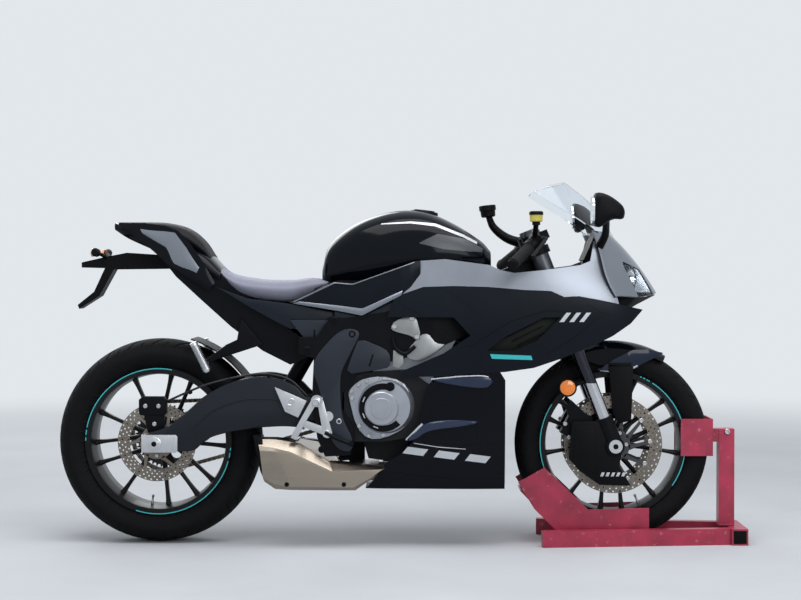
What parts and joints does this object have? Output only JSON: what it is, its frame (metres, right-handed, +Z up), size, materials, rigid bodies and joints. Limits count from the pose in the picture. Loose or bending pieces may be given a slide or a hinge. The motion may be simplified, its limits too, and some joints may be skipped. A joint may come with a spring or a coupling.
{
  "type": "sport motorcycle in a front wheel chock",
  "caption": "Full-fairing road sport motorcycle with raised tail and underslung exhaust, held upright by a steel front wheel chock.",
  "frame": {"origin": "on the floor, under the middle of the bounding box", "axes": "+X to the front of the bike, +Y to its left, +Z up"},
  "size_m": [2.1239, 0.768, 1.113],
  "materials": {
    "tyre": "matt",
    "wheel_black": "satin",
    "disc_steel": "brushed",
    "chain_steel": "oiled",
    "bright_alloy": "satin",
    "black_metal": "satin",
    "fork_grey": "satin",
    "chrome": "polished",
    "engine_silver": "cast, satin",
    "champagne_steel": "brushed",
    "body_silver": "metallic",
    "body_navy": "satin",
    "body_black": "gloss",
    "screen": "clear",
    "lamp": "clear",
    "black_plastic": "matt",
    "seat_lilac": "matt",
    "seat_black": "matt",
    "rubber": "matt",
    "chock_red": "gloss"
  },
  "bodies": {
    "chassis": {"chain": "chain_steel", "rear_axle": "bright_alloy", "pivot_bolt": "bright_alloy", "swingarm": "black_metal", "rear_caliper": "black_metal", "head_stock": "black_metal", "frame_spars": "black_metal", "subframe": "black_metal", "undertray": "black_plastic", "engine_crankcase": "engine_silver", "engine_cylinders": "engine_silver", "clutch_cover": "engine_silver", "generator_cover": "engine_silver", "radiator": "black_metal", "exhaust_headers": "champagne_steel", "silencer": "champagne_steel", "rear_shock": "black_metal", "hugger": "black_plastic", "shoulder_panel_right": "body_silver", "shoulder_panel_left": "body_silver", "side_fairing_right": "body_navy", "side_fairing_left": "body_navy", "belly_pan_right": "body_black", "belly_pan_left": "body_black", "knee_panels": "body_navy", "fuel_tank": "body_black", "rider_seat": "seat_lilac", "pillion_seat": "seat_black", "tail_cowl": "body_black", "nose_cowl": "body_silver", "headlights": "lamp", "windscreen": "screen", "cowl_stay": "black_metal", "dash": "black_plastic", "mirrors": "black_plastic", "foot_rests": "bright_alloy", "stand_bracket": "black_metal"},
    "steering": {"triple_clamps": "black_metal", "fork_tubes": "fork_grey", "fork_sliders": "chrome", "fork_feet": "black_metal", "front_axle": "bright_alloy", "front_calipers": "black_metal", "front_fender": "body_black", "clip_ons": "black_metal", "grips": "rubber", "levers": "black_metal", "chock_base": "chock_red", "chock_cradle": "chock_red", "chock_post": "chock_red"},
    "front_wheel": {"front_tyre": "tyre", "front_rim": "wheel_black", "front_discs": "disc_steel"},
    "rear_wheel": {"rear_tyre": "tyre", "rear_rim": "wheel_black", "rear_disc": "disc_steel", "rear_sprocket": "chain_steel"},
    "side_stand": {"side_stand": "black_metal"}
  },
  "joints": [
    {"name": "steering_turn", "type": "hinge", "parent": "chassis", "child": "steering", "pos_m": [0.62323, 0, 0.29427], "axis": [-0.3665, 0, 0.9304], "range_deg": [-27, 27]},
    {"name": "front_wheel_spin", "type": "hinge", "parent": "steering", "child": "front_wheel", "pos_m": [0.653, 0, 0.306], "axis": [0, 1, 0], "continuous": true},
    {"name": "rear_wheel_spin", "type": "hinge", "parent": "chassis", "child": "rear_wheel", "pos_m": [-0.747, 0, 0.315], "axis": [0, 1, 0], "continuous": true},
    {"name": "side_stand_swing", "type": "hinge", "parent": "chassis", "child": "side_stand", "pos_m": [-0.14, 0.118, 0.25], "axis": [0, 1, 0], "range_deg": [-100, 0]}
  ]
}
